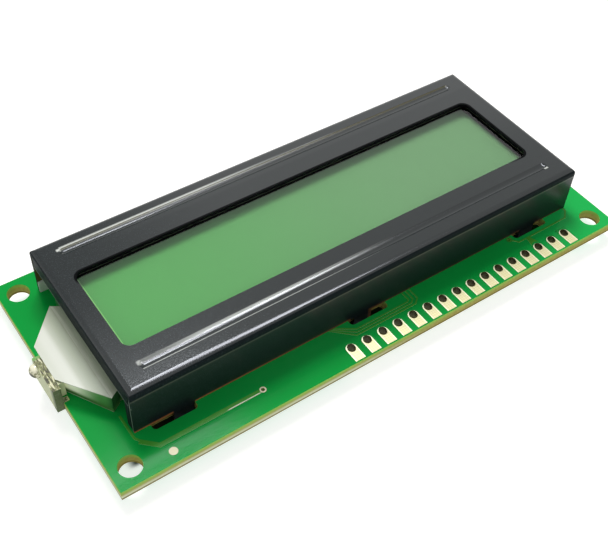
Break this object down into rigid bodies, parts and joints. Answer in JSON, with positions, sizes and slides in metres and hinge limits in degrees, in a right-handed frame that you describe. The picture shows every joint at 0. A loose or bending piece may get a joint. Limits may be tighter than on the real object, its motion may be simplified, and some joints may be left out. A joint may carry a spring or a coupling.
{
  "type": "character lcd module",
  "caption": "Two-line character display with a black stamped bezel, yellow-green screen, end-lit light guide and a row of header pads on a green circuit board.",
  "frame": {"origin": "centre of the four mounting holes, on the circuit board's back face", "axes": "+X along the board towards pin 1, +Y across the board away from the pin row, +Z out of the screen"},
  "size_m": [0.0819, 0.036, 0.0107],
  "materials": {
    "circuit_board": "glossy solder mask over glass-fibre board",
    "plated_pad": "pale gold plating",
    "masked_copper": "solder mask over copper",
    "bezel": "satin black enamel on stamped steel",
    "polarizer": "smooth film",
    "cell_glass": "clear float glass",
    "seal": "epoxy",
    "screen": "yellow-green transflective film",
    "resin": "clear amber resin",
    "elastomer": "silicone with a conducting core",
    "white_film": "white reflective film",
    "light_guide": "clear acrylic",
    "spacer": "white silicone",
    "led_board": "bare glass-fibre board",
    "led_housing": "moulded",
    "solder": "bright solder",
    "glob": "cast black epoxy",
    "resistor": "glazed ceramic",
    "capacitor": "fired ceramic"
  },
  "bodies": {
    "root": {"circuit_board": "circuit_board", "header_pads": "plated_pad", "pin_1_pad": "plated_pad", "via_pads": "masked_copper", "alignment_pads": "plated_pad", "signal_tracks": "masked_copper", "lamp_track": "masked_copper", "ground_track": "masked_copper", "contact_pads_near": "plated_pad", "contact_pads_far": "plated_pad", "backlight_pads": "plated_pad", "component_pads": "plated_pad", "bezel": "bezel", "front_polarizer": "polarizer", "front_glass": "cell_glass", "cell_seal": "seal", "rear_glass": "cell_glass", "rear_polarizer": "screen", "fill_port_plug": "resin", "elastomer_near": "elastomer", "elastomer_far": "elastomer", "diffuser_film": "white_film", "light_guide": "light_guide", "bottom_reflector": "white_film", "nose_cover_film": "white_film", "corner_spacer": "spacer", "led_board": "led_board", "led_housings": "led_housing", "led_lenses": "resin", "led_board_solder": "solder", "led_lead_solder": "solder", "controller_glob": "glob", "driver_glob": "glob", "resistors": "resistor", "resistor_ends": "solder", "backlight_resistors": "resistor", "backlight_resistor_ends": "solder", "capacitors": "capacitor", "capacitor_ends": "solder", "solder_jumpers": "solder"}
  },
  "joints": []
}
